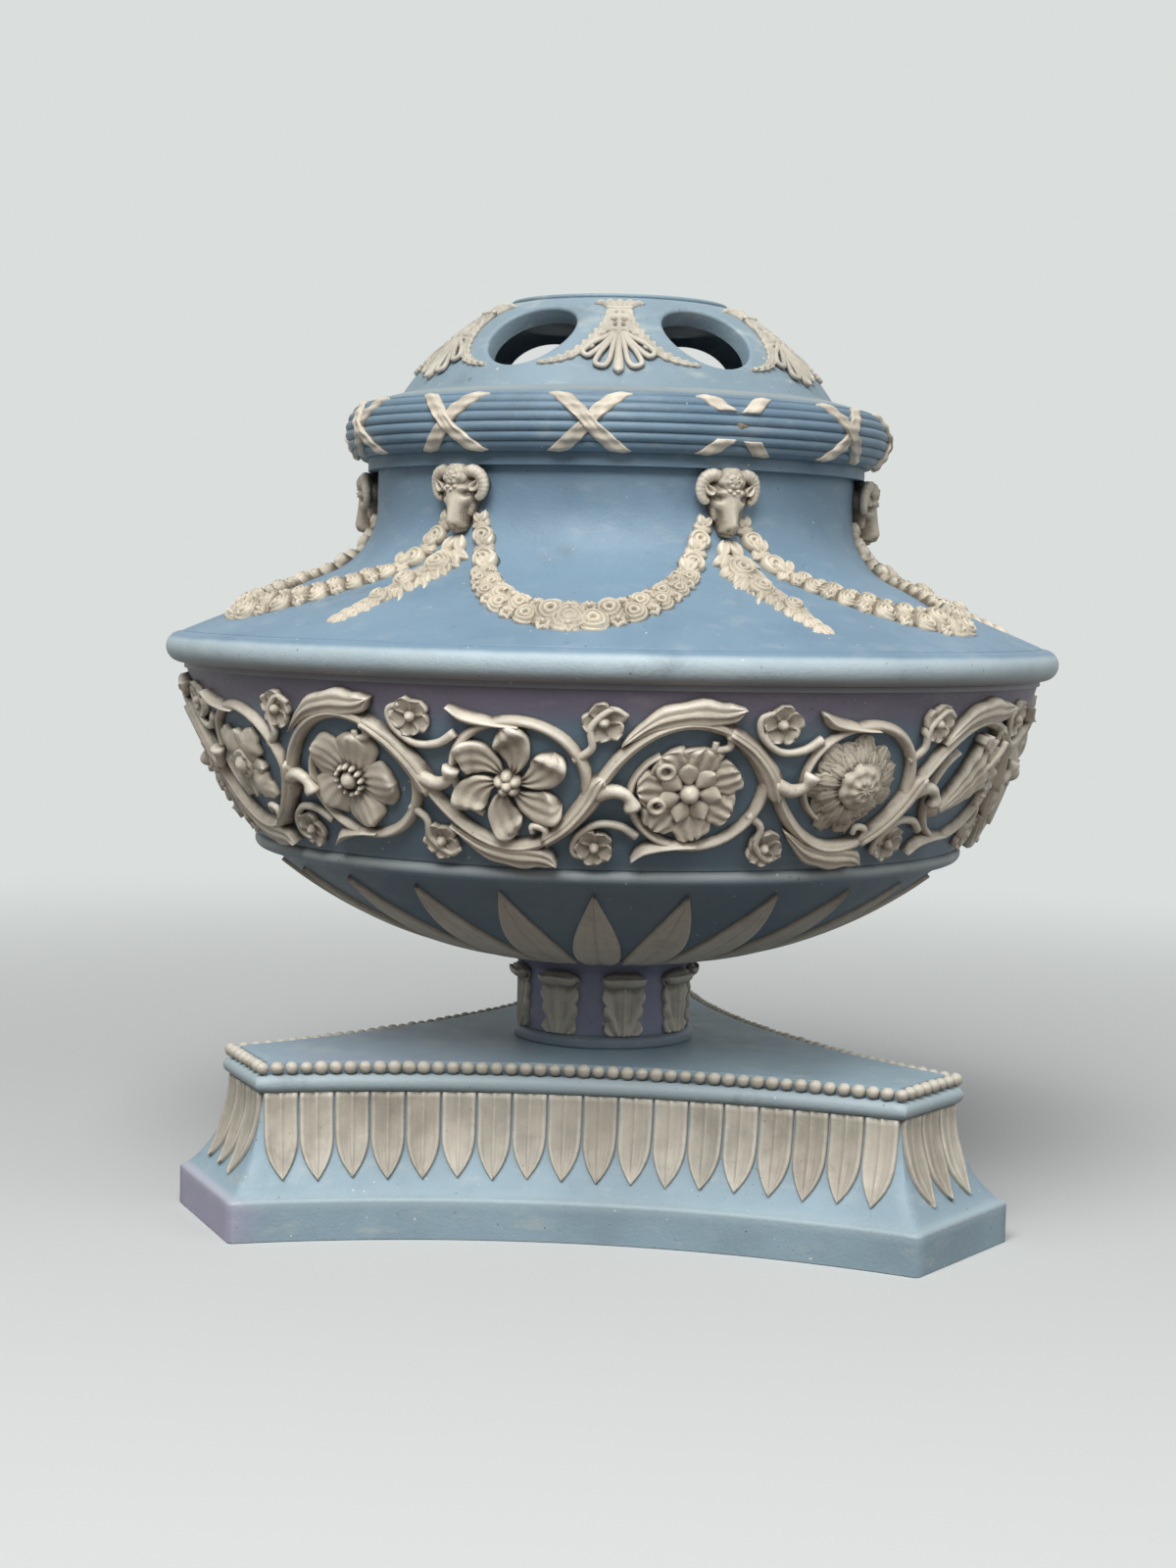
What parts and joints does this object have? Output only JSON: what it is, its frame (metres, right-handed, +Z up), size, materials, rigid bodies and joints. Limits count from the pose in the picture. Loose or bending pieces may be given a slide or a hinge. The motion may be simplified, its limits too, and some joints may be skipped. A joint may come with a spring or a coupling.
{
  "type": "potpourri vase",
  "caption": "Round footed potpourri vase on a three-sided plinth, with applied relief ornament and a pierced domed cover that lifts off.",
  "frame": {"origin": "on the vase's axis at table level", "axes": "+Z up along the vase's axis, -Y out of one hollow side of the plinth"},
  "size_m": [0.22, 0.22, 0.2222],
  "materials": {
    "blue_stoneware": "matt, unglazed, pale blue",
    "lilac_stoneware": "matt, unglazed, lilac",
    "cream_relief": "matt, unglazed, cream",
    "iron": "dull"
  },
  "bodies": {
    "vase": {"plinth": "blue_stoneware", "stem": "lilac_stoneware", "bowl": "blue_stoneware", "shoulder": "blue_stoneware", "collar": "blue_stoneware", "bolt": "iron", "washers": "iron", "nut": "iron", "plinth_beads": "cream_relief", "plinth_leaves": "cream_relief", "stem_leaves": "cream_relief", "bowl_leaves": "cream_relief", "frieze_vine": "cream_relief", "frieze_flowers": "cream_relief", "frieze_florets": "cream_relief", "ram_head_1": "cream_relief", "ram_head_2": "cream_relief", "ram_head_3": "cream_relief", "ram_head_4": "cream_relief", "ram_head_5": "cream_relief", "ram_head_6": "cream_relief", "swag_1": "cream_relief", "swag_2": "cream_relief", "swag_3": "cream_relief", "swag_4": "cream_relief", "swag_5": "cream_relief", "swag_6": "cream_relief", "drop_1": "cream_relief", "drop_2": "cream_relief", "drop_3": "cream_relief", "drop_4": "cream_relief", "drop_5": "cream_relief", "drop_6": "cream_relief", "ribbon_cross_1": "cream_relief", "ribbon_cross_2": "cream_relief", "ribbon_cross_3": "cream_relief", "ribbon_cross_4": "cream_relief", "ribbon_cross_5": "cream_relief", "ribbon_cross_6": "cream_relief", "ribbon_cross_7": "cream_relief", "ribbon_cross_8": "cream_relief", "ribbon_cross_9": "cream_relief", "ribbon_cross_10": "cream_relief", "ribbon_cross_11": "cream_relief", "ribbon_cross_12": "cream_relief"},
    "cover": {"pierced_cover": "blue_stoneware", "palmette_1": "cream_relief", "palmette_2": "cream_relief", "palmette_3": "cream_relief", "palmette_4": "cream_relief", "palmette_5": "cream_relief", "palmette_6": "cream_relief"}
  },
  "joints": [
    {"name": "cover_lift", "type": "slide", "parent": "vase", "child": "cover", "axis": [0, 0, 1], "range_m": [0, 0.12]}
  ]
}
